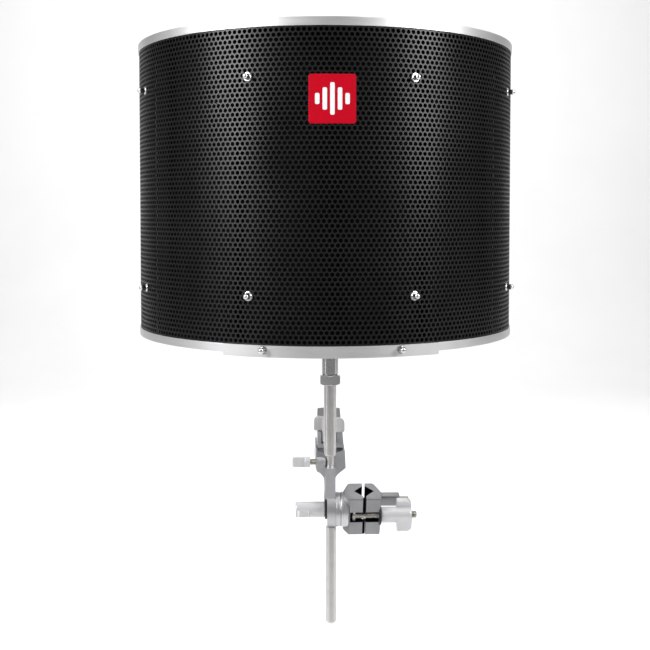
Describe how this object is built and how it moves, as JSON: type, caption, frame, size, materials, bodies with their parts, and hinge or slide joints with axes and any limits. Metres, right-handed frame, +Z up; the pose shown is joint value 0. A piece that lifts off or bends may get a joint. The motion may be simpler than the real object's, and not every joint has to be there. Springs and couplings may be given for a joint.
{
  "type": "microphone isolation shield",
  "caption": "Semicircular absorber shield with perforated black metal skins and bright end caps, on a stem, tilting arm, rod clamp and V-jaw microphone stand clamp.",
  "frame": {"origin": "middle of the stand clamp's V-shaped grip hole, on the tilt axis", "axes": "+Z up, +X to the right seen from the convex back, the convex perforated back faces -Y and the open microphone side faces +Y"},
  "size_m": [0.4022, 0.2058, 0.5766],
  "materials": {
    "black_sheet": "black powder coat, perforated",
    "wool": "dark absorber wool",
    "foil": "thin foil",
    "cap_metal": "brushed",
    "bright_steel": "polished stainless",
    "badge_red": "gloss red",
    "badge_white": "gloss white",
    "cast_alloy": "satin cast",
    "machined_disc": "machined",
    "screw_steel": "plain steel thread",
    "handle_alloy": "light satin",
    "black_washer": "matt black"
  },
  "bodies": {
    "stand_clamp": {"stand_clamp_fixed_jaw": "cast_alloy", "clamp_tilt_disc": "machined_disc", "stand_clamp_cross_pin": "screw_steel", "stand_clamp_bolt": "screw_steel", "stand_clamp_guide_pin": "screw_steel", "stand_clamp_gap_liner": "black_washer"},
    "stand_jaw": {"stand_clamp_free_jaw": "cast_alloy", "stand_clamp_washer": "black_washer", "stand_clamp_lug_screw": "screw_steel"},
    "stand_handle": {"stand_clamp_handle": "handle_alloy"},
    "tilt_lock": {"tilt_handle": "handle_alloy", "tilt_bolt": "screw_steel"},
    "arm": {"arm_casting": "cast_alloy", "arm_tilt_disc": "machined_disc", "lower_rod": "bright_steel", "upper_clamp_stud": "screw_steel", "upper_clamp_guide_pins": "screw_steel", "tilt_washer": "black_washer"},
    "upper_jaw": {"upper_clamp_jaw": "cast_alloy", "upper_clamp_washer": "black_washer"},
    "upper_handle": {"upper_clamp_handle": "handle_alloy"},
    "socket_lock": {"socket_screw": "handle_alloy"},
    "stem": {"stem_rod": "bright_steel"},
    "jam_nut": {"stem_jam_nut": "bright_steel"},
    "filter": {"outer_perforated_sheet": "black_sheet", "inner_perforated_sheet": "black_sheet", "outer_wool_layer": "wool", "foil_layer": "foil", "inner_wool_layer": "wool", "spacer_rods": "black_sheet", "top_cap": "cap_metal", "bottom_cap": "cap_metal", "end_channel_left": "cap_metal", "end_channel_right": "cap_metal", "top_cap_screws": "bright_steel", "bottom_cap_screws": "bright_steel", "shell_bolts": "bright_steel", "shell_bolt_washers": "bright_steel", "shell_bolt_spacers": "bright_steel", "shell_bolt_nuts": "bright_steel", "badge_plate": "badge_red", "badge_mark": "badge_white", "mounting_bracket": "cap_metal", "bracket_bolts": "bright_steel", "bracket_bolt_spacers": "bright_steel", "bracket_bolt_nuts": "bright_steel", "stem_collar": "bright_steel", "stem_collar_screw": "bright_steel"}
  },
  "joints": [
    {"name": "tilt", "type": "hinge", "parent": "stand_clamp", "child": "arm", "pos_m": [-0.0324, 0, 0], "axis": [1, 0, 0], "range_deg": [-67.7, 112.3]},
    {"name": "tilt_handle_turn", "type": "hinge", "parent": "stand_clamp", "child": "tilt_lock", "pos_m": [-0.0524, 0, 0], "axis": [-1, 0, 0], "range_deg": [0, 360]},
    {"name": "stand_handle_turn", "type": "hinge", "parent": "stand_jaw", "child": "stand_handle", "pos_m": [0.03, -0.00833, -0.00342], "axis": [1, 0, 0], "range_deg": [-96, 2880]},
    {"name": "stand_jaw_slide", "type": "slide", "parent": "stand_clamp", "child": "stand_jaw", "axis": [1, 0, 0], "range_m": [-0.00034, 0.0101]},
    {"name": "upper_handle_turn", "type": "hinge", "parent": "upper_jaw", "child": "upper_handle", "pos_m": [-0.0324, 0.0235, 0.07], "axis": [0, 0, 1], "range_deg": [-612, 3600]},
    {"name": "upper_jaw_slide", "type": "slide", "parent": "arm", "child": "upper_jaw", "axis": [0, 0, 1], "range_m": [-0.00171, 0.0101]},
    {"name": "socket_screw_turn", "type": "hinge", "parent": "arm", "child": "socket_lock", "pos_m": [-0.0524, 0, 0.0464], "axis": [-1, 0, 0], "range_deg": [0, 360]},
    {"name": "stem_slide", "type": "slide", "parent": "arm", "child": "stem", "axis": [0, 0, 1], "range_m": [0, 0.021]},
    {"name": "jam_nut_turn", "type": "hinge", "parent": "stem", "child": "jam_nut", "pos_m": [-0.0324, 0, 0.125], "axis": [0, 0, -1], "range_deg": [0, 180]},
    {"name": "filter_swivel", "type": "hinge", "parent": "stem", "child": "filter", "pos_m": [-0.0324, 0, 0.14], "axis": [0, 0, 1], "range_deg": [-180, 180]}
  ],
  "couplings": [
    {"joint": "stand_jaw_slide", "follows": "stand_handle_turn", "m_per_rad": 0.00019894},
    {"joint": "upper_jaw_slide", "follows": "upper_handle_turn", "m_per_rad": 0.00015915}
  ]
}
